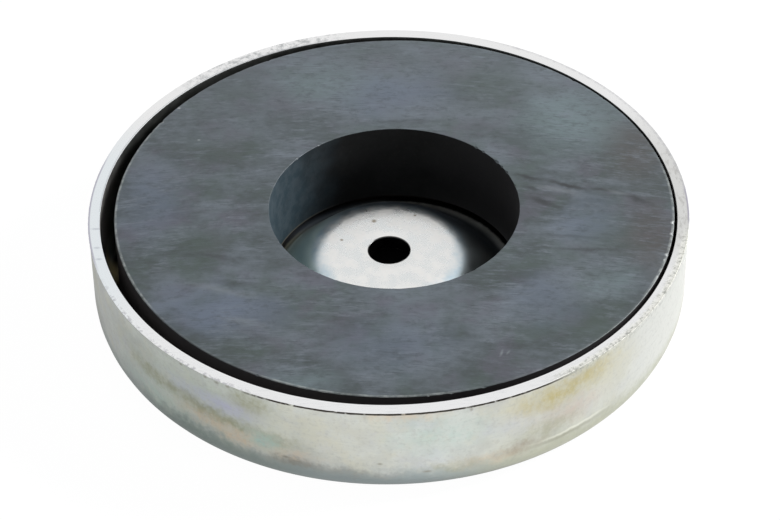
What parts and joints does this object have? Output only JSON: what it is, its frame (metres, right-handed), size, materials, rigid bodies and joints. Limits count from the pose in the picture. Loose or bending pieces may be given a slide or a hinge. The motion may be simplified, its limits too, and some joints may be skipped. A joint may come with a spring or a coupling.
{
  "type": "pot magnet",
  "caption": "Shallow round pot magnet: a ferrite ring bonded into a drawn zinc-plated steel cup, with a domed boss and a clear screw hole in the middle.",
  "frame": {"origin": "centre of the cup's flat underside, on the cup's own axis", "axes": "+Z along the cup's axis, from the underside towards the open working face; +X and +Y lie in the underside, with the ring magnet sitting slightly off centre towards +X and +Y"},
  "size_m": [0.08, 0.08, 0.015],
  "materials": {
    "zinc_plated_steel": "dull bright zinc plating, pale grey-green with faint straw and pink stains",
    "ferrite": "ground sintered ferrite, dark blue-grey, matt, with fine parallel grinding marks and small edge chips",
    "glue": "cured epoxy, dull amber brown"
  },
  "bodies": {
    "root": {"cup": "zinc_plated_steel", "ring_magnet": "ferrite", "glue_film": "glue"}
  },
  "joints": []
}
